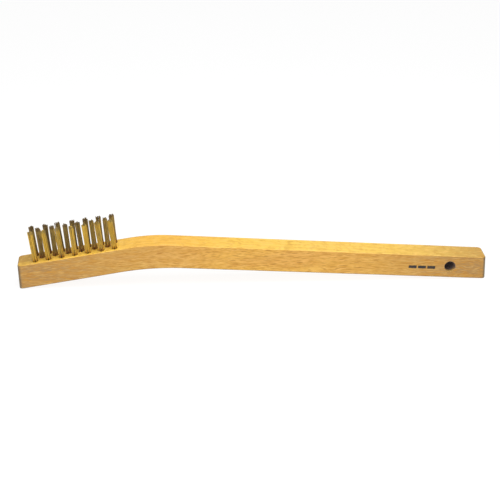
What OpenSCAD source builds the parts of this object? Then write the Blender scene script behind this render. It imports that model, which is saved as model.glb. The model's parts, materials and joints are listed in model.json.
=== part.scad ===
/* [Handle] */
// Length of the underside from the head end to the corner of the bend, in mm
head_l = 55.8; // [52:0.1:70]
// Length of the underside from the corner of the bend to the grip end
grip_l = 142.2; // [100:0.1:180]
// Angle by which the head turns away from the grip, in degrees
bend_angle = 12.5; // [6:0.1:18]
// Radius of the bend along the underside
lower_bend_r = 118; // [60:1:130]
// Radius of the bend along the upper side
upper_bend_r = 80; // [60:1:140]
// Width of the wooden bar
handle_w = 11.1; // [10.8:0.1:14]
// Thickness of the head
head_t = 10.4; // [9:0.1:13]
// Thickness at the grip end, down to which the grip tapers
grip_end_t = 9.8; // [8.5:0.1:10]
// Rounding of the upright edges at both ends
end_r = 1.7; // [0.5:0.1:3]
// Angle by which the sawn head end leans out from upright, in degrees
head_end_lean = 2.4; // [0:0.1:6]
// Angle by which the sawn grip end leans back from upright, in degrees
grip_end_rake = 1.7; // [0:0.1:8]

/* [Hang hole] */
// Diameter of the hole through the sides of the grip
hang_hole_d = 4.5; // [3:0.1:6]
// Distance of the hole's centre from the grip end
hang_hole_from_end = 16; // [10:0.1:40]
// Height of the hole's centre above the grip's underside
hang_hole_h = 5.1; // [4.5:0.1:5.5]

/* [Tuft holes] */
// Distance between two tufts of the same row
tuft_pitch = 5.55; // [4.5:0.05:5.8]
// Distance of the first tuft of the outer rows from the head end
first_tuft = 8.75; // [7:0.05:9]
// Distance between neighbouring rows
row_gap = 3; // [2.9:0.1:3.4]
// Diameter of a tuft hole
tuft_hole_d = 2.3; // [2.3:0.05:2.6]
// Depth of a tuft hole down to where the drill point begins
tuft_hole_depth = 7; // [6.9:0.1:7.5]
// Full angle of the drill point, in degrees
drill_point = 118; // [90:1:140]

/* [Wires] */
// Diameter of one brass wire
wire_d = 0.3; // [0.2:0.01:0.3]
// Height of the trimmed wires above the head
trim_h = 12.7; // [8:0.1:20]
// Depth of the anchor's lower edge, around which the wires are folded
fold_depth = 5.7; // [5:0.1:5.8]
// Spacing of neighbouring wires in a tuft
wire_pitch = 0.32; // [0.31:0.01:0.32]
// Distance from the middle of a tuft to the legs next to the anchor
inner_leg = 0.33; // [0.33:0.01:0.34]

/* [Anchors] */
// Thickness of the flat anchor wire
anchor_t = 0.34; // [0.2:0.02:0.34]
// Height of the anchor
anchor_h = 1.4; // [0.8:0.1:2]
// Length of the anchor across the hole, with both ends pressed into the wood
anchor_l = 3; // [2.6:0.1:3]
// Play between the anchor and the slit that it has cut
anchor_play = 0.01; // [0.01:0.01:0.03]

/* [Hidden] */
ROWS = ["front", "middle", "back"];
ROW_TUFTS = [7, 6, 7];
ROW_SIDE = [-1, 0, 1];
tuft_names = [for (r = [0 : 2]) for (i = [1 : ROW_TUFTS[r]]) str("tuft_", ROWS[r], "_", i)];
anchor_names = [for (r = [0 : 2]) for (i = [1 : ROW_TUFTS[r]]) str("anchor_", ROWS[r], "_", i)];

// The bar rests like a shallow arch on its two lower end edges, which are the span apart.
span = sqrt(head_l ^ 2 + grip_l ^ 2 + 2 * head_l * grip_l * cos(bend_angle));
head_slope = asin(grip_l * sin(bend_angle) / span);
grip_slope = bend_angle - head_slope;
// The grip's upper side falls more steeply than its underside, because the grip tapers.
taper = atan((head_t - grip_end_t) / grip_l);
// The upper edge of the leaning head end reaches out past the lower one.
overhang = -meeting(outward(head_slope) * head_t, head_slope, [0, 0], 90 + head_end_lean).x;
head_end = [(overhang - span) / 2, 0];
grip_end = [(overhang + span) / 2, 0];
bend_steps = 24;
// Folded wires in each step outwards from the anchor: twenty-six wire ends in all
wires_across = [6, 5, 2];
drill_tip_h = tuft_hole_d / 2 / tan(drill_point / 2);
spare = 1;
fine = 96;
round_fn = 32;

// Child origin at the foot of the head end, with X along the head's underside and Z square to it
module on_head() {
    translate([head_end.x, 0, 0]) rotate([0, -head_slope, 0]) children();
}

// Child origin at the foot of the grip end, with X along the grip's underside, out of the wood
module on_grip_end() {
    translate([grip_end.x, 0, 0]) rotate([0, grip_slope, 0]) children();
}

// Child origin on the head's upper face, in the middle of tuft i of row r
module on_tuft(r, i) {
    stagger = ROW_SIDE[r] == 0 ? tuft_pitch / 2 : 0;
    u = first_tuft + stagger + (i - 1) * tuft_pitch;
    on_head() translate([u, ROW_SIDE[r] * row_gap, head_t]) children();
}

// Rectangle a by b round the origin, with rounded corners
module rounded_rectangle(a, b, r) {
    square([a - 2 * r, b], center = true);
    square([a, b - 2 * r], center = true);
    for (x = [-1, 1], y = [-1, 1])
        translate([x * (a / 2 - r), y * (b / 2 - r)]) circle(r, $fn = round_fn);
}

// Direction along the bar, and the one out of its upper side, where it climbs at angle a
function along(a) = [cos(a), sin(a)];
function outward(a) = [-sin(a), cos(a)];

// Where the line from p climbing at angle a meets the line from q climbing at angle b
function meeting(p, a, q, b) = p + along(a) * ((q - p) * outward(b)) / (along(a) * outward(b));

// Points of an arc of radius r that rounds the corner between angle a and the lower angle b
function rounded_corner(corner, a, b, r) = [
    for (k = [0 : bend_steps])
        corner - along(a) * r * tan((a - b) / 2) - outward(a) * r + outward(a + (b - a) * k / bend_steps) * r
];

// Head, bend and grip in side view, a little too long at both ends
module side_view() {
    grip_fall = grip_slope + taper;
    head_top = head_end + outward(head_slope) * head_t;
    grip_top = grip_end + outward(-grip_slope) * grip_end_t;
    lower_corner = head_end + along(head_slope) * head_l;
    upper_corner = meeting(head_top, head_slope, grip_top, -grip_fall);
    lower = rounded_corner(lower_corner, head_slope, -grip_slope, lower_bend_r);
    upper = rounded_corner(upper_corner, head_slope, -grip_fall, upper_bend_r);
    upper_back = [for (k = [bend_steps : -1 : 0]) upper[k]];
    polygon(concat(
        [head_end - along(head_slope) * spare], lower, [grip_end + along(-grip_slope) * spare],
        [grip_top + along(-grip_fall) * spare], upper_back, [head_top - along(head_slope) * spare]
    ));
}

// Upright block with one rounded end at X = 0, reaching back over the whole bar
module end_trim() {
    block_l = span + 4 * end_r;
    block_h = 2 * head_t + span / 4;
    translate([-block_l / 2, 0, -head_t]) linear_extrude(block_h)
        rounded_rectangle(block_l, handle_w, end_r);
}

// Blind drilled hole with the slit that the anchor cuts into the wood on both sides of it
module tuft_hole() {
    rotate_extrude($fn = fine) polygon([
        [0, -tuft_hole_depth - drill_tip_h], [tuft_hole_d / 2, -tuft_hole_depth],
        [tuft_hole_d / 2, spare], [0, spare]
    ]);
    slit_t = anchor_t + 2 * anchor_play;
    slit_l = anchor_l + 2 * anchor_play;
    translate([-slit_t / 2, -slit_l / 2, -fold_depth]) cube([slit_t, slit_l, fold_depth + spare]);
}

module handle() {
    color("burlywood") difference() {
        intersection() {
            rotate([90, 0, 0]) linear_extrude(handle_w, center = true) side_view();
            translate([head_end.x, 0, 0]) rotate([0, head_end_lean, 180]) end_trim();
            translate([grip_end.x, 0, 0]) rotate([0, -grip_end_rake, 0]) end_trim();
        }
        for (r = [0 : 2], i = [1 : ROW_TUFTS[r]])
            on_tuft(r, i) tuft_hole();
        on_grip_end() translate([-hang_hole_from_end, 0, hang_hole_h]) rotate([90, 0, 0])
            cylinder(d = hang_hole_d, h = handle_w + 2 * spare, center = true, $fn = fine);
    }
}

// One wire folded in two under the anchor, with its legs half_gap to either side
module folded_wire(half_gap) {
    rotate([90, 0, 0]) rotate([0, 0, 180]) rotate_extrude(angle = 180, $fn = fine)
        translate([half_gap, 0]) circle(d = wire_d, $fn = round_fn);
    for (side = [-1, 1])
        translate([side * half_gap, 0, 0]) cylinder(d = wire_d, h = fold_depth + trim_h, $fn = round_fn);
}

// Folded wires side by side in three steps, staggered so that they nest
module tuft(r, i) {
    color("darkgoldenrod") on_tuft(r, i) translate([0, 0, -fold_depth])
        for (step = [0 : 2], k = [1 : wires_across[step]])
            translate([0, (k - (wires_across[step] + 1) / 2) * wire_pitch, 0])
                folded_wire(inner_leg + step * wire_pitch);
}

// Piece of flat wire driven in across the hole, which holds the folded tuft down
module anchor(r, i) {
    color("silver") on_tuft(r, i) translate([-anchor_t / 2, -anchor_l / 2, -fold_depth])
        cube([anchor_t, anchor_l, anchor_h]);
}

handle();
for (r = [0 : 2], i = [1 : ROW_TUFTS[r]]) {
    tuft(r, i);
    anchor(r, i);
}
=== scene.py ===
import json
import math
import random

import bmesh
import bpy
from mathutils import Matrix, Vector, noise


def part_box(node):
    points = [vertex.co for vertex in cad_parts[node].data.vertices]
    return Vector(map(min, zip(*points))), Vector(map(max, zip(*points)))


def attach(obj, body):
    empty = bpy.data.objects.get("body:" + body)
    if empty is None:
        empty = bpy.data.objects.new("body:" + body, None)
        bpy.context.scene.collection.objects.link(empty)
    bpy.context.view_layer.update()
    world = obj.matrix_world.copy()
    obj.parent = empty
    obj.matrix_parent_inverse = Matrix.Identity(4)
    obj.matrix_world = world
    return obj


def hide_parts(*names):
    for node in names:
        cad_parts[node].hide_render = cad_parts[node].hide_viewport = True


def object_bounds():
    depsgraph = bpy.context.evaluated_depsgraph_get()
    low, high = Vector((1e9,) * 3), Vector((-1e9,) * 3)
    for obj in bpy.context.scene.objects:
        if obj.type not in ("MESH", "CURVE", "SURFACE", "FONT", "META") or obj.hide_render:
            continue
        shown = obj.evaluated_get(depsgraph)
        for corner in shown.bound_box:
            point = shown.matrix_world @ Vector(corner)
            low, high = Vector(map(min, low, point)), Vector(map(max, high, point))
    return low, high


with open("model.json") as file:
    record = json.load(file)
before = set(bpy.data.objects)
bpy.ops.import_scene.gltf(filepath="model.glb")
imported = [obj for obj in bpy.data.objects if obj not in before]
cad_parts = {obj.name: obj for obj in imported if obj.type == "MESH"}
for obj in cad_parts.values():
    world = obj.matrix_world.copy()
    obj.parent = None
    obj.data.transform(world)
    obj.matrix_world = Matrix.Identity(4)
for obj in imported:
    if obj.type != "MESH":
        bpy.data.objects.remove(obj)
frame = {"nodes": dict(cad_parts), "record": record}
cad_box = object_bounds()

# Everything below but the lamps is worked out in millimetres and turned into metres by this.
MM = 0.001


# ---------------------------------------------------------------- camera
# A long lens on a stand in front of the bench, a little left of the brush's middle and
# looking down on it, so that the front side and the upper side both show.
CAMERA_AIM = Vector((-1.68, 0.0, 13.25))
CAMERA_DISTANCE = 598.1
CAMERA_TURN = math.radians(-4.62)
CAMERA_DIP = math.radians(24.02)
CAMERA_ROLL = math.radians(0.65)
SENSOR_W = 36.0
LENS = 102.15
CLIP_NEAR = 0.01
CLIP_FAR = 20.0

look = Vector((
    -math.sin(CAMERA_TURN) * math.cos(CAMERA_DIP),
    math.cos(CAMERA_TURN) * math.cos(CAMERA_DIP),
    -math.sin(CAMERA_DIP),
))
level = Vector((math.cos(CAMERA_TURN), math.sin(CAMERA_TURN), 0.0))
upright = level.cross(look)
camera_x = level * math.cos(CAMERA_ROLL) + upright * math.sin(CAMERA_ROLL)
camera_y = upright * math.cos(CAMERA_ROLL) - level * math.sin(CAMERA_ROLL)
camera_data = bpy.data.cameras.new("camera")
camera_data.sensor_width = SENSOR_W
camera_data.lens = LENS
camera_data.clip_start = CLIP_NEAR
camera_data.clip_end = CLIP_FAR
camera = bpy.data.objects.new("camera", camera_data)
bpy.context.scene.collection.objects.link(camera)
turned = Matrix((camera_x, camera_y, -look)).transposed().to_4x4()
camera.matrix_world = Matrix.Translation((CAMERA_AIM - look * CAMERA_DISTANCE) * MM) @ turned
bpy.context.scene.camera = camera


# ---------------------------------------------------------------- handle
# One bar of steamed beech, sawn to a shallow bend, planed, with its long edges eased by
# tumbling, then clear-lacquered. The head is drilled for the tufts and the grip for hanging.
HEAD_L = 55.8
GRIP_L = 142.2
BEND = math.radians(12.5)
LOWER_BEND_R = 118.0
UPPER_BEND_R = 80.0
HEAD_T = 10.4
GRIP_END_T = 9.8
END_R = 1.7
HEAD_END_LEAN = math.radians(2.4)
GRIP_END_RAKE = math.radians(1.7)
UPPER_EASE = 0.3
LOWER_EASE = 0.42
EASE_CHANGE = 0.1
EASE_CHANGES_PER_MM = 0.06
EDGE_APART = 7.3
EASE_SEED = 2.9
END_EASE = 0.35
SECTION_STEP = 2.0
END_STEPS = 8
BEND_STEPS = 24
EDGE_STEPS = 5

handle_low, handle_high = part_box("handle")
handle_w = (handle_high.y - handle_low.y) / MM
span = math.sqrt(HEAD_L ** 2 + GRIP_L ** 2 + 2 * HEAD_L * GRIP_L * math.cos(BEND))
head_slope = math.asin(GRIP_L * math.sin(BEND) / span)
grip_slope = BEND - head_slope
grip_fall = grip_slope + math.atan((HEAD_T - GRIP_END_T) / GRIP_L)


def along(a):
    """Direction along the bar, in side view, where it climbs at angle a."""
    return Vector((math.cos(a), math.sin(a)))


def outward(a):
    """Direction out of the bar's upper side where it climbs at angle a."""
    return Vector((-math.sin(a), math.cos(a)))


def meeting(p, a, q, b):
    """Where the line from p climbing at a meets the line from q climbing at b."""
    return p + along(a) * ((q - p).dot(outward(b)) / along(a).dot(outward(b)))


def rounded_corner(corner, a, b, r):
    """Points of an arc of radius r that rounds the corner from angle a to the lower angle b."""
    middle = corner - along(a) * r * math.tan((a - b) / 2) - outward(a) * r
    return [middle + outward(a + (b - a) * k / BEND_STEPS) * r for k in range(BEND_STEPS + 1)]


def between(p, q, count):
    """Evenly spaced points between p and q, without the two themselves."""
    return [p.lerp(q, k / count) for k in range(1, count)]


grip_end = Vector((handle_high.x / MM, 0.0))
head_end = grip_end - Vector((span, 0.0))
head_top = head_end + outward(head_slope) * HEAD_T
grip_top = grip_end + outward(-grip_slope) * GRIP_END_T

# Planes that cut the bar near its ends, closer together towards the end itself
end_turns = [k * math.pi / 2 / END_STEPS for k in range(END_STEPS + 1)]
end_depths = [END_R * (1 - math.cos(turn)) for turn in end_turns]
end_insets = [END_R * (1 - math.sin(turn)) for turn in end_turns]
head_planes = [
    (head_end + Vector((d / math.cos(HEAD_END_LEAN), 0.0)), math.pi / 2 + HEAD_END_LEAN)
    for d in end_depths
]
grip_planes = [
    (grip_end - Vector((d / math.cos(GRIP_END_RAKE), 0.0)), math.pi / 2 + GRIP_END_RAKE)
    for d in reversed(end_depths)
]


def side_line(head_point, head_angle, grip_point, grip_angle, bend_r):
    """The bar's lower or upper outline in side view, from the head end to the grip end."""
    corner = meeting(head_point, head_angle, grip_point, grip_angle)
    bend = rounded_corner(corner, head_angle, grip_angle, bend_r)
    at_head = [meeting(head_point, head_angle, q, a) for q, a in head_planes]
    at_grip = [meeting(grip_point, grip_angle, q, a) for q, a in grip_planes]
    head_count = round(HEAD_L / SECTION_STEP)
    grip_count = round(GRIP_L / SECTION_STEP)
    head_run = between(at_head[-1], bend[0], head_count)
    grip_run = between(bend[-1], at_grip[0], grip_count)
    return at_head + head_run + bend + grip_run + at_grip


lower_line = side_line(head_end, head_slope, grip_end, -grip_slope, LOWER_BEND_R)
upper_line = side_line(head_top, head_slope, grip_top, -grip_fall, UPPER_BEND_R)
plain_sections = len(lower_line) - 2 * len(end_depths)
side_insets = end_insets + [0.0] * plain_sections + end_insets[::-1]
reach_in = [min(d, END_EASE) for d in end_depths]
top_insets = [END_EASE - math.sqrt(END_EASE ** 2 - (END_EASE - d) ** 2) for d in reach_in]
edge_insets = top_insets + [0.0] * plain_sections + top_insets[::-1]


def bar_section(low, high, side_inset, edge_inset):
    """One cross-section of the bar, a rectangle with eased corners, in metres."""
    rise = (high - low).normalized()
    half_w = handle_w / 2 - side_inset
    thickness = (high - low).length
    section = []
    for corner, (side, upper) in enumerate(((1, 1), (-1, 1), (-1, 0), (1, 0))):
        spot = Vector((low.x * EASE_CHANGES_PER_MM, corner * EDGE_APART, EASE_SEED))
        change = noise.noise(spot)
        ease = (UPPER_EASE if upper else LOWER_EASE) + EASE_CHANGE * change
        height = thickness - edge_inset - ease if upper else edge_inset + ease
        for k in range(EDGE_STEPS + 1):
            turn = math.radians(90 * (corner + k / EDGE_STEPS))
            y = side * (half_w - ease) + ease * math.cos(turn)
            point = low + rise * (height + ease * math.sin(turn))
            section.append(Vector((point.x, y, point.y)) * MM)
    return section


def skin(mesh, sections, material_index=0):
    """Joins a row of equal closed sections into a bmesh tube, and closes its two ends."""
    rings = [[mesh.verts.new(p) for p in section] for section in sections]
    faces = []
    for ring, after in zip(rings, rings[1:]):
        for k in range(len(ring)):
            n = (k + 1) % len(ring)
            faces.append(mesh.faces.new((ring[k], ring[n], after[n], after[k])))
    faces.append(mesh.faces.new(rings[0][::-1]))
    faces.append(mesh.faces.new(rings[-1]))
    for face in faces:
        face.material_index = material_index
    return rings


def new_object(name, mesh, materials=()):
    """Turns a bmesh into an object with outward faces."""
    bmesh.ops.recalc_face_normals(mesh, faces=mesh.faces)
    data = bpy.data.meshes.new(name)
    mesh.to_mesh(data)
    mesh.free()
    for material in materials:
        data.materials.append(material)
    made = bpy.data.objects.new(name, data)
    bpy.context.scene.collection.objects.link(made)
    return made


bar_mesh = bmesh.new()
skin(bar_mesh, [
    bar_section(*place) for place in zip(lower_line, upper_line, side_insets, edge_insets)
])


# The wood's nodes are laid out by the next few, which the other materials use as well.
def shade(tree, kind, sockets=None, **settings):
    """Adds a shader node, sets or links its sockets, and returns it."""
    made = tree.nodes.new(kind)
    for name, value in settings.items():
        setattr(made, name, value)
    for name, value in (sockets or {}).items():
        if isinstance(value, bpy.types.NodeSocket):
            tree.links.new(value, made.inputs[name])
        else:
            made.inputs[name].default_value = value
    return made


def sums(tree, operation, *values):
    """Adds a Math node on up to three values and returns its output."""
    return shade(tree, "ShaderNodeMath", dict(enumerate(values)), operation=operation).outputs[0]


def fade(tree, value, start, end):
    """0 where value is at start, 1 where it is at end, and smooth in between."""
    sockets = {"Value": value, "From Min": start, "From Max": end}
    made = shade(tree, "ShaderNodeMapRange", sockets, interpolation_type="SMOOTHSTEP")
    return made.outputs[0]


def tint(tree, factor, first, second):
    """Goes from the first colour to the second by factor."""
    sockets = {0: factor, 6: first, 7: second}
    return shade(tree, "ShaderNodeMix", sockets, data_type="RGBA").outputs[2]


def patches(tree, place, stretch, detail=2.0, seed=0.0):
    """Soft noise whose patches are as long, wide and high as stretch, in millimetres."""
    sockets = {"Vector": place, "Location": (seed, seed, seed), "Scale": [1 / s for s in stretch]}
    scaled = shade(tree, "ShaderNodeMapping", sockets).outputs[0]
    sockets = {"Vector": scaled, "Scale": 1.0, "Detail": detail}
    return shade(tree, "ShaderNodeTexNoise", sockets).outputs["Fac"]


def parts_of(tree, vector):
    """The X, Y and Z outputs of a vector."""
    return shade(tree, "ShaderNodeSeparateXYZ", {0: vector}).outputs


def facing_way(tree):
    """The X, Y and Z of the direction that the surface faces."""
    return parts_of(tree, shade(tree, "ShaderNodeTexCoord").outputs["Normal"])


def new_material(name):
    """An empty node material, with its Principled shader and its coordinates in millimetres."""
    material = bpy.data.materials.new(name)
    material.use_nodes = True
    tree = material.node_tree
    surface = tree.nodes["Principled BSDF"]
    coordinates = shade(tree, "ShaderNodeTexCoord")
    sockets = {"Vector": coordinates.outputs["Object"], "Scale": [1 / MM] * 3}
    place = shade(tree, "ShaderNodeMapping", sockets).outputs[0]
    return material, tree, surface, place


BEECH_LIGHT = (0.80, 0.44, 0.065, 1)
BEECH_PINK = (0.74, 0.385, 0.070, 1)
# The upper side's tones, lighter than the sides' partly as painted light from above
BEECH_TOP_GRAIN_LIT = (0.88, 0.55, 0.075, 1)
BEECH_TOP_GRAIN_LIT_PALE = (0.88, 0.575, 0.098, 1)
BEECH_ORANGE = (0.76, 0.30, 0.035, 1)
BEECH_END = (0.20, 0.145, 0.07, 1)
BEECH_END_LATE = (0.12, 0.08, 0.04, 1)
# Painted shade for the down-facing lower eased edges
BEECH_EDGE_SHADE = (0.15, 0.10, 0.035, 1)
# Brown of handling, also used as painted shade where the light falls off towards the ends
BEECH_AGED_SHADED = (0.37, 0.20, 0.058, 1)
BEECH_PALE = (0.90, 0.56, 0.145, 1)
LATE_WOOD = (0.59, 0.275, 0.022, 1)
RAY_BROWN = (0.45, 0.19, 0.012, 1)
PORE_BROWN = (0.46, 0.215, 0.018, 1)

# Slopes between which the look of one side turns into that of the next
TOP_BLEND = (0.15, 0.75)
END_BLEND = (0.1, 0.72)
LOWER_EDGE_SHADE_BLEND = (0.0, -0.4)
UNDERSIDE_BLEND = (-0.98, -0.86)

beech, tree, surface, place = new_material("lacquered_beech")
facing = facing_way(tree)
on_top = fade(tree, facing["Z"], *TOP_BLEND)
on_end = fade(tree, sums(tree, "ABSOLUTE", facing["X"]), *END_BLEND)
off_flat = fade(tree, facing["Z"], *UNDERSIDE_BLEND)
# Painted shade: the down-facing lower eased edges are marked for darkening, but not the flat
# underside
lower_edge_shade = sums(tree, "MULTIPLY", fade(tree, facing["Z"], *LOWER_EDGE_SHADE_BLEND), off_flat)


def side_to_top(side_share, top_share):
    """A share that changes from the bar's sides to its upper side."""
    return sums(tree, "MULTIPLY_ADD", on_top, top_share - side_share, side_share)


# Growth rings lie nearly flat to the side, so that they come out there as wide wavy bands
# and run along the upper side as narrow lines.
RING_CENTRE = Vector((0.0, 62.0, -34.0))
RING_STEP = 2.3
RING_WANDER = 5.0
RING_SWIRL = 1.1
LATE_STARTS = (0.35, 0.88)
LATE_STOPS = (1.0, 0.93)
wander = patches(tree, place, stretch=(34, 9, 7), detail=2.0)
swirl = patches(tree, place, stretch=(9, 5, 3.2), detail=1.0, seed=4.0)
from_centre = shade(
    tree, "ShaderNodeVectorMath", {0: place, 1: RING_CENTRE}, operation="SUBTRACT"
).outputs[0]
across = shade(
    tree, "ShaderNodeVectorMath", {0: from_centre, 1: (0.0, 1.0, 1.0)}, operation="MULTIPLY"
).outputs[0]
radius = shade(tree, "ShaderNodeVectorMath", {0: across}, operation="LENGTH").outputs["Value"]
radius = sums(tree, "MULTIPLY_ADD", wander, RING_WANDER, radius)
radius = sums(tree, "MULTIPLY_ADD", swirl, RING_SWIRL, radius)
ring = sums(tree, "FRACT", sums(tree, "DIVIDE", radius, RING_STEP))
late = sums(tree, "MULTIPLY", fade(tree, ring, *LATE_STARTS), fade(tree, ring, *LATE_STOPS))

# The fibres wander a little up and down with the rings, and everything below follows them.
FIBRE_WANDER = 3.5
FIBRE_SWIRL = 1.6
wandered = sums(tree, "MULTIPLY", wander, FIBRE_WANDER)
lift = sums(tree, "MULTIPLY_ADD", swirl, FIBRE_SWIRL, wandered)
lifted = shade(tree, "ShaderNodeCombineXYZ", {"Z": lift}).outputs[0]
fibre = shade(tree, "ShaderNodeVectorMath", {0: place, 1: lifted}, operation="ADD").outputs[0]


# Rays are thin ribbons that point at the ring centre: short dark dashes on the side,
# narrow lines on the upper side, where they are fainter.
RAY_TILT = 0.18
RAY_CORE = 0.55
SHORT_RAY_SHARE = 0.7


def rays(length, thickness, depth, size, seed):
    """1 inside scattered ray ribbons, 0 outside."""
    sockets = {
        "Vector": fibre, "Location": (seed, seed * 2, seed * 3), "Rotation": (RAY_TILT, 0.0, 0.0),
        "Scale": (1 / length, 1 / depth, 1 / thickness),
    }
    scaled = shade(tree, "ShaderNodeMapping", sockets).outputs[0]
    cells = shade(tree, "ShaderNodeTexVoronoi", {"Vector": scaled, "Scale": 1.0})
    return fade(tree, cells.outputs["Distance"], size, size * RAY_CORE)


long_rays = rays(length=5.4, thickness=0.52, depth=16.0, size=0.34, seed=3.1)
short_rays = rays(length=2.6, thickness=0.34, depth=8.0, size=0.36, seed=8.7)
ray = sums(tree, "MAXIMUM", long_rays, sums(tree, "MULTIPLY", short_rays, SHORT_RAY_SHARE))
ray_shown = sums(tree, "MULTIPLY", ray, side_to_top(side_share=0.85, top_share=0.25))

# Streaks along the fibres, fine pores, and broad patches of a pinker wood
PALE_STREAKS = (0.52, 0.66)
DARK_STREAKS = (0.48, 0.34)
PORES_OPEN = (0.52, 0.72)
BLUSHES = (0.35, 0.65)
streak = patches(tree, fibre, stretch=(4.4, 2.5, 0.27), detail=2.0, seed=5.0)
pale_streak = fade(tree, streak, *PALE_STREAKS)
dark_streak = fade(tree, streak, *DARK_STREAKS)
fine_pores = patches(tree, fibre, stretch=(4.0, 0.16, 0.16), detail=3.0, seed=2.0)
pores = fade(tree, fine_pores, *PORES_OPEN)
pinker = patches(tree, place, stretch=(26, 12, 6), detail=3.0, seed=6.0)
blush = fade(tree, pinker, *BLUSHES)

# The upper side is lighter and yellower than the sides, partly as another face of the grain and
# partly as painted light from above; it is paler towards the grip end and more orange by the bend.
# Pairs of places are where along the bar a change starts and is complete.
TOP_PALES = (-20.0, 30.0)
ORANGE_FROM_GRIP = (-5.0, -35.0)
ORANGE_FROM_HEAD = (-62.0, -46.0)
ORANGE_SHARE = 0.3
wood = tint(tree, blush, BEECH_LIGHT, BEECH_PINK)
where = parts_of(tree, place)
top_grain_and_light = tint(tree, fade(tree, where["X"], *TOP_PALES), BEECH_TOP_GRAIN_LIT, BEECH_TOP_GRAIN_LIT_PALE)
past_head = fade(tree, where["X"], *ORANGE_FROM_HEAD)
by_bend = sums(tree, "MULTIPLY", fade(tree, where["X"], *ORANGE_FROM_GRIP), past_head)
top_grain_and_light = tint(tree, sums(tree, "MULTIPLY", by_bend, ORANGE_SHARE), top_grain_and_light, BEECH_ORANGE)
# Painted light: the upper side gets its lighter tone here
wood = tint(tree, on_top, wood, top_grain_and_light)

# Hands and years have browned the wood towards both ends, and painted shade for the light falling
# off towards the ends darkens them further; on the upper side of the head this lies mostly behind
# the front tufts.
BEHIND_FRONT_TUFTS = (-3.0, -1.2)
DARKENING_BEFORE_TUFTS = 0.35
TOP_DARKENS_AT_HEAD = (-82.0, -104.0)
TOP_DARKENS_AT_GRIP = (48.0, 112.0)
TOP_AGE_AND_SHADE = 0.75
SIDE_DARKENS_AT_HEAD = (-8.0, -104.0)
SIDE_DARKENS_AT_GRIP = (32.0, 96.0)
behind = fade(tree, where["Y"], *BEHIND_FRONT_TUFTS)
behind = sums(tree, "MULTIPLY_ADD", behind, 1 - DARKENING_BEFORE_TUFTS, DARKENING_BEFORE_TUFTS)
top_at_head = sums(tree, "MULTIPLY", fade(tree, where["X"], *TOP_DARKENS_AT_HEAD), behind)
aged_shaded_top = sums(tree, "MAXIMUM", top_at_head, fade(tree, where["X"], *TOP_DARKENS_AT_GRIP))
aged_shaded_top = sums(tree, "MULTIPLY", aged_shaded_top, TOP_AGE_AND_SHADE)
side_at_head = fade(tree, where["X"], *SIDE_DARKENS_AT_HEAD)
aged_shaded_side = sums(tree, "MAXIMUM", side_at_head, fade(tree, where["X"], *SIDE_DARKENS_AT_GRIP))
aged_and_shaded = shade(tree, "ShaderNodeMix", {0: on_top, 2: aged_shaded_side, 3: aged_shaded_top}).outputs[0]
# Wear from handling and painted shade for the light falling off towards the ends darken the wood
# here
wood = tint(tree, aged_and_shaded, wood, BEECH_AGED_SHADED)

# How much each kind of grain shows over the plain wood, and how much painted shade the lower edges
# get
PALE_SHARE = 0.45
PORE_SHARE = 0.35
EDGE_SHADE_SHARE = 0.8
END_SHARE = 0.88
late_shown = sums(tree, "MULTIPLY", late, side_to_top(side_share=0.4, top_share=0.25))
wood = tint(tree, late_shown, wood, LATE_WOOD)
dark_shown = sums(tree, "MULTIPLY", dark_streak, side_to_top(side_share=0.95, top_share=0.3325))
wood = tint(tree, dark_shown, wood, LATE_WOOD)
wood = tint(tree, sums(tree, "MULTIPLY", pale_streak, PALE_SHARE), wood, BEECH_PALE)
wood = tint(tree, sums(tree, "MULTIPLY", pores, PORE_SHARE), wood, PORE_BROWN)
wood = tint(tree, ray_shown, wood, RAY_BROWN)
# Painted shade darkens the down-facing lower eased edges
wood = tint(tree, sums(tree, "MULTIPLY", lower_edge_shade, EDGE_SHADE_SHARE), wood, BEECH_EDGE_SHADE)
end_wood = tint(tree, late, BEECH_END, BEECH_END_LATE)
wood = tint(tree, sums(tree, "MULTIPLY", on_end, END_SHARE), wood, end_wood)

# Three plain ink bars are stamped in a row on the front side, near the hang hole.
INK = (0.010, 0.008, 0.008, 1)
MARK_FROM_END = 28.0
MARK_H = 4.4
BAR_STEP = 4.0
BAR_HALF_L = 1.72
BAR_HALF_H = 0.66
BARS_HALF_L = 5.95
INK_BLEED = 0.12
INK_FRAY = 0.5
INK_FRAY_SIZE = (0.9, 0.9, 0.22)
INK_LOST_IN_PORES = 0.15
mark_at = grip_end - along(-grip_slope) * MARK_FROM_END + outward(-grip_slope) * MARK_H
levelled = Matrix.Rotation(-grip_slope, 3, "Y")
mark_place = shade(tree, "ShaderNodeMapping", {
    "Vector": place, "Rotation": (0.0, -grip_slope, 0.0),
    "Location": -(levelled @ Vector((mark_at.x, 0.0, mark_at.y))),
}).outputs[0]
from_mark = parts_of(tree, mark_place)
frayed = patches(tree, fibre, INK_FRAY_SIZE, detail=3.0, seed=9.0)
frayed = sums(tree, "MULTIPLY_ADD", frayed, INK_FRAY, -INK_FRAY / 2)
bar_number = sums(tree, "ROUND", sums(tree, "DIVIDE", from_mark["X"], BAR_STEP))
in_bar = sums(tree, "MULTIPLY_ADD", bar_number, -BAR_STEP, from_mark["X"])
bar_reach = sums(tree, "ADD", sums(tree, "ABSOLUTE", in_bar), frayed)
bar_rise = sums(tree, "ADD", sums(tree, "ABSOLUTE", from_mark["Z"]), frayed)
inked = sums(
    tree, "MULTIPLY",
    fade(tree, bar_reach, BAR_HALF_L + INK_BLEED, BAR_HALF_L - INK_BLEED),
    fade(tree, bar_rise, BAR_HALF_H + INK_BLEED, BAR_HALF_H - INK_BLEED),
)
in_row = sums(tree, "LESS_THAN", sums(tree, "ABSOLUTE", from_mark["X"]), BARS_HALF_L)
in_front = sums(tree, "LESS_THAN", where["Y"], -handle_w / 2 + UPPER_EASE)
inked = sums(tree, "MULTIPLY", inked, sums(tree, "MULTIPLY", in_row, in_front))
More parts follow.
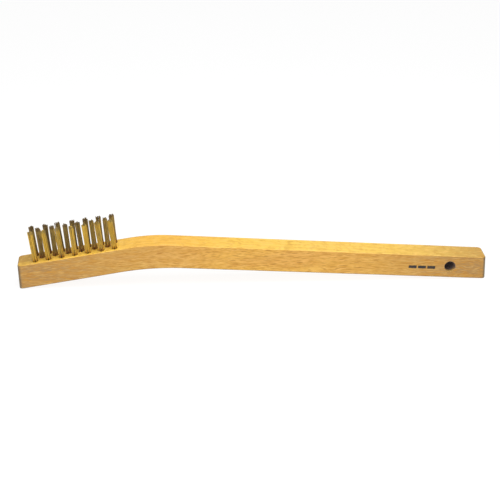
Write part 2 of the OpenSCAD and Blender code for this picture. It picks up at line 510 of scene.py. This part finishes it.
inked = sums(tree, "MULTIPLY", inked, sums(tree, "MULTIPLY_ADD", pores, -INK_LOST_IN_PORES, 1.0))
wood = tint(tree, inked, wood, INK)
tree.links.new(wood, surface.inputs["Base Color"])

# The thin lacquer shines a little, least over open pores and on the end grain, and lets the
# pores and rays be felt.
WOOD_ROUGHNESS = 0.42
PORE_ROUGHNESS = 0.12
END_ROUGHNESS = 0.25
GRAIN_SINK = 0.5
GRAIN_RELIEF = 0.5
GRAIN_DEPTH = 0.04
LACQUER = 0.08
LACQUER_ROUGHNESS = 0.3
roughness = sums(tree, "MULTIPLY_ADD", pores, PORE_ROUGHNESS, WOOD_ROUGHNESS)
roughness = sums(tree, "MULTIPLY_ADD", on_end, END_ROUGHNESS, roughness)
tree.links.new(roughness, surface.inputs["Roughness"])
sunk_rays = sums(tree, "MULTIPLY", ray, -GRAIN_SINK)
relief = sums(tree, "MULTIPLY_ADD", pores, -GRAIN_SINK, sunk_rays)
sockets = {"Height": relief, "Strength": GRAIN_RELIEF, "Distance": GRAIN_DEPTH * MM}
tree.links.new(shade(tree, "ShaderNodeBump", sockets).outputs[0], surface.inputs["Normal"])
surface.inputs["Coat Weight"].default_value = LACQUER
surface.inputs["Coat Roughness"].default_value = LACQUER_ROUGHNESS

# Drilled walls are painted dark in patches as the shade inside the holes, and stay paler only at
# the upward-facing rim of the hang hole, where light from above reaches in.
BEECH_RIM = (0.50, 0.29, 0.07, 1)
RIM_DEPTH = 2.4
RIM_FACES_UP = (0.1, 0.7)
BORE_PATCH_SIZE = (0.9, 0.9, 0.9)
BORE_PATCH_SPREAD = (0.35, 0.7)
WALL_ROUGHNESS = 0.7
BORE_PATCH_ROUGHNESS = 0.15
BORE_PATCH_RELIEF = 0.6
BORE_PATCH_DEPTH = 0.05
# Painted shade for the inside of the drilled holes, darker and lighter in patches
BORE_SHADE_DEEP = (0.13, 0.098, 0.09, 1)
BORE_SHADE_SOFT = (0.27, 0.185, 0.155, 1)
shaded_bore, tree, surface, place = new_material("beech_bore_shade")
bore_patches = fade(tree, patches(tree, place, BORE_PATCH_SIZE, detail=4.0), *BORE_PATCH_SPREAD)
from_middle = sums(tree, "ABSOLUTE", parts_of(tree, place)["Y"])
lit_rim = fade(tree, from_middle, handle_w / 2 - RIM_DEPTH, handle_w / 2 - RIM_DEPTH / 4)
faces_up = fade(tree, facing_way(tree)["Z"], *RIM_FACES_UP)
lit_rim = sums(tree, "MULTIPLY", lit_rim, faces_up)
# The hole walls are painted shade, except the upward-facing rim of the hang hole, where light from
# above reaches
wall = tint(tree, lit_rim, tint(tree, bore_patches, BORE_SHADE_DEEP, BORE_SHADE_SOFT), BEECH_RIM)
tree.links.new(wall, surface.inputs["Base Color"])
roughness = sums(tree, "MULTIPLY_ADD", bore_patches, BORE_PATCH_ROUGHNESS, WALL_ROUGHNESS)
tree.links.new(roughness, surface.inputs["Roughness"])
sockets = {"Height": bore_patches, "Strength": BORE_PATCH_RELIEF, "Distance": BORE_PATCH_DEPTH * MM}
tree.links.new(shade(tree, "ShaderNodeBump", sockets).outputs[0], surface.inputs["Normal"])

handle = new_object("bent_beech_handle", bar_mesh, (beech, shaded_bore))

# Each tuft hole goes in square to the head's upper face, straight over its anchor, and the
# anchor's ends have slit the wood to either side of it.
TUFT_HOLE_D = 2.3
TUFT_HOLE_DEPTH = 7.0
DRILL_POINT = math.radians(118)
MOUTH_WEAR = 0.1
HANG_WEAR = 0.18
FOLD_DEPTH = 5.7
ANCHOR_H = 1.4
SLIT_T = 0.36
SLIT_L = 3.02
POINT_BLUNT = 0.04
ROUND = 32
OUTSIDE = 0.6
SHARP_FROM = math.radians(35)

head_along = Vector((along(head_slope).x, 0.0, along(head_slope).y))
head_out = Vector((outward(head_slope).x, 0.0, outward(head_slope).y))
across_bar = Vector((0.0, 1.0, 0.0))
tuft_names = sorted(name for name in frame["nodes"] if name.startswith("tuft_"))
anchor_names = sorted(name for name in frame["nodes"] if name.startswith("anchor_"))


def tuft_mouth(tuft_name):
    """Middle of a tuft's hole in the head's upper face, found from the anchor below it."""
    low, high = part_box(tuft_name.replace("tuft", "anchor"))
    return (low + high) / 2 / MM + head_out * (FOLD_DEPTH - ANCHOR_H / 2)


def turned_cutter(mesh, origin, axis, first_side, profile):
    """A turned cutter whose profile gives pairs of distance along the axis and radius."""
    second_side = axis.cross(first_side)
    turns = [2 * math.pi * k / ROUND for k in range(ROUND)]
    spokes = [first_side * math.cos(t) + second_side * math.sin(t) for t in turns]
    skin(mesh, [
        [(origin + axis * distance + spoke * r) * MM for spoke in spokes] for distance, r in profile
    ], material_index=1)


hole_r = TUFT_HOLE_D / 2
tip_depth = hole_r / math.tan(DRILL_POINT / 2)
drills = bmesh.new()
slits = bmesh.new()
for tuft_name in tuft_names:
    mouth = tuft_mouth(tuft_name)
    turned_cutter(drills, mouth, head_out, head_along, (
        (-TUFT_HOLE_DEPTH - tip_depth * (1 - POINT_BLUNT), hole_r * POINT_BLUNT),
        (-TUFT_HOLE_DEPTH, hole_r), (-MOUTH_WEAR, hole_r), (OUTSIDE, hole_r + MOUTH_WEAR + OUTSIDE),
    ))
    corners = [
        head_along * (SLIT_T / 2 * a) + across_bar * (SLIT_L / 2 * b)
        for a, b in ((-1, -1), (1, -1), (1, 1), (-1, 1))
    ]
    skin(slits, [
        [(mouth + corner + head_out * h) * MM for corner in corners] for h in (-FOLD_DEPTH, OUTSIDE)
    ], material_index=1)

mounts = {mount["name"]: mount for mount in frame["record"]["mounts"]}
hang_hole = Vector(mounts["hang_hole"]["pos_m"]) / MM
hang_r = mounts["hang_hole"]["dims"]["r_mm"]
half_w = handle_w / 2
turned_cutter(drills, hang_hole, across_bar, Vector((1.0, 0.0, 0.0)), (
    (-half_w - OUTSIDE, hang_r + HANG_WEAR + OUTSIDE), (-half_w + HANG_WEAR, hang_r),
    (half_w - HANG_WEAR, hang_r), (half_w + OUTSIDE, hang_r + HANG_WEAR + OUTSIDE),
))

for name, cutter_mesh in (("drills", drills), ("slits", slits)):
    cutter = new_object(name, cutter_mesh, (beech, shaded_bore))
    cut = handle.modifiers.new("cut", "BOOLEAN")
    cut.operation = "DIFFERENCE"
    cut.solver = "EXACT"
    cut.object = cutter
    bpy.context.view_layer.update()
    drilled_handle = handle.evaluated_get(bpy.context.evaluated_depsgraph_get())
    done = bpy.data.meshes.new_from_object(drilled_handle)
    handle.modifiers.clear()
    handle.data = done
    bpy.data.objects.remove(cutter)

handle.data.shade_smooth()
handle.data.set_sharp_from_angle(angle=SHARP_FROM)
even = handle.modifiers.new("even_normals", "WEIGHTED_NORMAL")
even.keep_sharp = True
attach(handle, "root")
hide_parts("handle")


# ---------------------------------------------------------------- anchors
# Twenty short lengths of flat galvanised steel wire, chopped off square and driven across
# the holes. They keep their made shape and get their metal here.
ZINC = (0.42, 0.43, 0.44, 1)
ZINC_DARK = (0.20, 0.20, 0.21, 1)
DRAW_LINE_SIZE = (0.15, 1.2, 0.15)
DRAW_LINES = (0.35, 0.65)
ZINC_ROUGHNESS = 0.25
DRAWN_ROUGHNESS = 0.3
anchor_steel, tree, surface, place = new_material("flat_steel_wire")
drawn = patches(tree, place, DRAW_LINE_SIZE, detail=3.0)
zinc = tint(tree, fade(tree, drawn, *DRAW_LINES), ZINC, ZINC_DARK)
tree.links.new(zinc, surface.inputs["Base Color"])
roughness = sums(tree, "MULTIPLY_ADD", drawn, DRAWN_ROUGHNESS, ZINC_ROUGHNESS)
tree.links.new(roughness, surface.inputs["Roughness"])
surface.inputs["Metallic"].default_value = 1.0
for anchor_name in anchor_names:
    anchor = frame["nodes"][anchor_name]
    anchor.data.materials.clear()
    anchor.data.materials.append(anchor_steel)


# ---------------------------------------------------------------- tufts
# Twenty bundles of straight drawn brass wire, each wire folded in two under its anchor.
# The ends are trimmed after filling, roughly level, and the brass has gone dull and brown; the rows
# behind the front one are darker still with painted shade.
WIRE_R = 0.15
WIRE_SIDES = 8
WIRE_PITCH = 0.32
INNER_LEG = 0.33
WIRES_ACROSS = (6, 5, 2)
TRIM_H = 12.7
TRIM_SHORT = 0.35
TRIM_LONG = 0.4
TRIM_TILT = 0.015
ROW_LEAN = {"front": 0.42, "middle": 0.68, "back": 0.6}
LEAN_CHANGE = 0.32
CLOSING = 0.12
CLOSED_BY = 3.0
SPLAY = 0.12
SPLAY_CURVE = 1.6
WANDER = 0.05
CUT_SLANT = 0.10
WIRE_SHARP_FROM = math.radians(50)
FOLD_STEPS = 6
LEG_STEPS = 9
# Painted shade: the middle and back rows are made duller and browner than the front row, as the
# shade behind it
ROW_SHADE_AND_TARNISH = {"front": 0.12, "middle": 0.5, "back": 0.66}
CLEANER_WIRE = 0.15
DULLER_WIRE = 0.3

BRIGHT_BRASS = (0.74, 0.48, 0.075, 1)
DULL_BRASS = (0.40, 0.28, 0.075, 1)
BROWN_BRASS = (0.16, 0.10, 0.035, 1)
# Painted reflection of the wood, with painted shade, on the feet of the wires
BRASS_WOOD_REFLECTION = (0.34, 0.13, 0.04, 1)
# Pairs are the wear and painted shade, or the height above the head, where a change starts and is
# complete.
MOTTLE_SIZE = (1.0, 1.0, 2.5)
MOTTLE = 0.9
TIP_HEIGHTS = (TRIM_H - 1.1, TRIM_H - 0.1)
TIP_TARNISH = 0.32
GOES_DULL = (0.1, 0.6)
GOES_BROWN = (0.5, 1.05)
FOOT_HEIGHTS = (2.6, 0.2)
FOOT_TARNISH = (0.0, 0.5)
FOOT_REFLECTION_SHARE = 0.7
LOSES_METAL = (1.4, -0.4)
BRASS_ROUGHNESS = 0.3
TARNISH_ROUGHNESS = 0.22
brass, tree, surface, place = new_material("drawn_brass_wire")
tarnish_and_shade = shade(tree, "ShaderNodeAttribute", attribute_name="tarnish_and_shade").outputs["Fac"]
height = shade(tree, "ShaderNodeAttribute", attribute_name="height").outputs["Fac"]
mottle = sums(tree, "SUBTRACT", patches(tree, place, MOTTLE_SIZE, detail=4.0), 0.5)
# Each wire's tarnish plus the painted shade of the rows behind the front one, with mottling
worn_and_shaded = sums(tree, "MULTIPLY_ADD", mottle, MOTTLE, tarnish_and_shade)
worn_and_shaded = sums(tree, "MULTIPLY_ADD", fade(tree, height, *TIP_HEIGHTS), TIP_TARNISH, worn_and_shaded)
metal = tint(tree, fade(tree, worn_and_shaded, *GOES_DULL), BRIGHT_BRASS, DULL_BRASS)
metal = tint(tree, fade(tree, worn_and_shaded, *GOES_BROWN), metal, BROWN_BRASS)
# Painted reflection and shade: the wires' feet are tinted red-brown, as the wood reflects in them
# and shades them
foot_reflection = sums(tree, "MULTIPLY", fade(tree, height, *FOOT_HEIGHTS), fade(tree, worn_and_shaded, *FOOT_TARNISH))
metal = tint(tree, sums(tree, "MULTIPLY", foot_reflection, FOOT_REFLECTION_SHARE), metal, BRASS_WOOD_REFLECTION)
tree.links.new(metal, surface.inputs["Base Color"])
tree.links.new(fade(tree, worn_and_shaded, *LOSES_METAL), surface.inputs["Metallic"])
roughness = sums(tree, "MULTIPLY_ADD", worn_and_shaded, TARNISH_ROUGHNESS, BRASS_ROUGHNESS)
tree.links.new(roughness, surface.inputs["Roughness"])


def wire_spine(gap, shift, rng, tuft_lean, tuft_trim):
    """Centre line of one folded wire in tuft coordinates: along the head, across it, out of it."""
    legs = []
    for side in (-1, 1):
        top = tuft_trim + rng.uniform(-TRIM_SHORT, TRIM_LONG)
        spread = SPLAY * rng.gauss(0.0, 1.0)
        spread_across = SPLAY * rng.gauss(0.0, 1.0)
        drift = rng.uniform(-WANDER, WANDER)
        drift_across = rng.uniform(-WANDER, WANDER)
        leg = [Vector((side * gap, shift, -depth)) for depth in (FOLD_DEPTH, FOLD_DEPTH / 2)]
        for k in range(LEG_STEPS + 1):
            part = k / LEG_STEPS
            bow = math.sin(math.pi * part)
            splay = part ** SPLAY_CURVE
            closed = gap - CLOSING * min(top * part / CLOSED_BY, 1.0)
            leg.append(Vector((
                side * closed + tuft_lean * part + spread * splay + drift * bow,
                shift + spread_across * splay + drift_across * bow,
                top * part,
            )))
        legs.append(leg)
    fold = []
    for k in range(1, FOLD_STEPS):
        turn = math.pi * k / FOLD_STEPS
        fold.append(Vector((-gap * math.cos(turn), shift, -FOLD_DEPTH - gap * math.sin(turn))))
    return legs[0][::-1] + fold + legs[1]


def add_wire(mesh, spine, origin, rng, wire_tarnish_and_shade, layers):
    """Sweeps one round wire along its centre line, with its two ends cut a little aslant."""
    sections = []
    for k, point in enumerate(spine):
        before, after = spine[max(k - 1, 0)], spine[min(k + 1, len(spine) - 1)]
        run = (after - before).normalized()
        side = (Vector((0.0, 1.0, 0.0)) - run * run.y).normalized()
        third = run.cross(side)
        slant = rng.uniform(-CUT_SLANT, CUT_SLANT) if k in (0, len(spine) - 1) else 0.0
        section = []
        for s in range(WIRE_SIDES):
            turn = 2 * math.pi * s / WIRE_SIDES
            ring = (side * math.cos(turn) + third * math.sin(turn)) * WIRE_R
            section.append(point + ring + run * slant * math.cos(turn))
        sections.append(section)
    placed = [
        [(origin + head_along * p.x + across_bar * p.y + head_out * p.z) * MM for p in section]
        for section in sections
    ]
    for ring, point in zip(skin(mesh, placed), spine):
        for vertex in ring:
            vertex[layers["tarnish_and_shade"]] = wire_tarnish_and_shade
            vertex[layers["height"]] = point.z


head_middle = sum((tuft_mouth(name) for name in tuft_names), Vector()) / len(tuft_names)
for number, tuft_name in enumerate(tuft_names):
    rng = random.Random(100 + number)
    row = tuft_name.split("_")[1]
    mouth = tuft_mouth(tuft_name)
    tuft_lean = ROW_LEAN[row] + rng.uniform(-LEAN_CHANGE, LEAN_CHANGE)
    tuft_trim = TRIM_H - TRIM_TILT * (mouth - head_middle).dot(head_along)
    tuft_mesh = bmesh.new()
    layers = {name: tuft_mesh.verts.layers.float.new(name) for name in ("tarnish_and_shade", "height")}
    for step, count in enumerate(WIRES_ACROSS):
        for k in range(count):
            shift = (k - (count - 1) / 2) * WIRE_PITCH
            spine = wire_spine(INNER_LEG + step * WIRE_PITCH, shift, rng, tuft_lean, tuft_trim)
            wire_tarnish_and_shade = ROW_SHADE_AND_TARNISH[row] + rng.uniform(-CLEANER_WIRE, DULLER_WIRE)
            add_wire(tuft_mesh, spine, mouth, rng, wire_tarnish_and_shade, layers)
    tuft = new_object(tuft_name + "_wires", tuft_mesh, (brass,))
    tuft.data.shade_smooth()
    tuft.data.set_sharp_from_angle(angle=WIRE_SHARP_FROM)
    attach(tuft, "root")
    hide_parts(tuft_name)


# ---------------------------------------------------------------- floor and light
# A pale bench top, a wide soft lamp overhead and a bright plain room.
FLOOR_HALF = 9.0
BENCH_GREY = (0.12, 0.12, 0.12, 1)
BENCH_ROUGHNESS = 0.9
BENCH_GLOW = 0.9
PLAIN_WHITE = (1, 1, 1, 1)
ROOM_LIGHT = 0.35
floor_mesh = bmesh.new()
floor_mesh.faces.new([
    floor_mesh.verts.new((a * FLOOR_HALF, b * FLOOR_HALF, cad_box[0].z))
    for a, b in ((-1, -1), (1, -1), (1, 1), (-1, 1))
])
pale = new_material("pale_bench")[0]
surface = pale.node_tree.nodes["Principled BSDF"]
surface.inputs["Base Color"].default_value = BENCH_GREY
surface.inputs["Roughness"].default_value = BENCH_ROUGHNESS
surface.inputs["Emission Color"].default_value = PLAIN_WHITE
surface.inputs["Emission Strength"].default_value = BENCH_GLOW
floor = new_object("bench_top", floor_mesh, (pale,))


def soft_lamp(name, place, size, power):
    """A square soft lamp, in metres and watts, that points from its place to the bar's middle."""
    data = bpy.data.lights.new(name, "AREA")
    data.size = size
    data.energy = power
    lamp = bpy.data.objects.new(name, data)
    bpy.context.scene.collection.objects.link(lamp)
    lamp.location = place
    lamp.rotation_euler = (-Vector(place)).to_track_quat("-Z", "Y").to_euler()


soft_lamp("overhead_lamp", place=(0.03, -0.08, 0.35), size=0.3, power=1.35)
soft_lamp("front_lamp", place=(-0.4, -0.7, 0.45), size=0.4, power=1.8)

world = bpy.data.worlds.new("plain_room")
world.use_nodes = True
room = world.node_tree.nodes["Background"]
room.inputs["Color"].default_value = PLAIN_WHITE
room.inputs["Strength"].default_value = ROOM_LIGHT
bpy.context.scene.world = world
bpy.context.scene.view_settings.view_transform = "Standard"
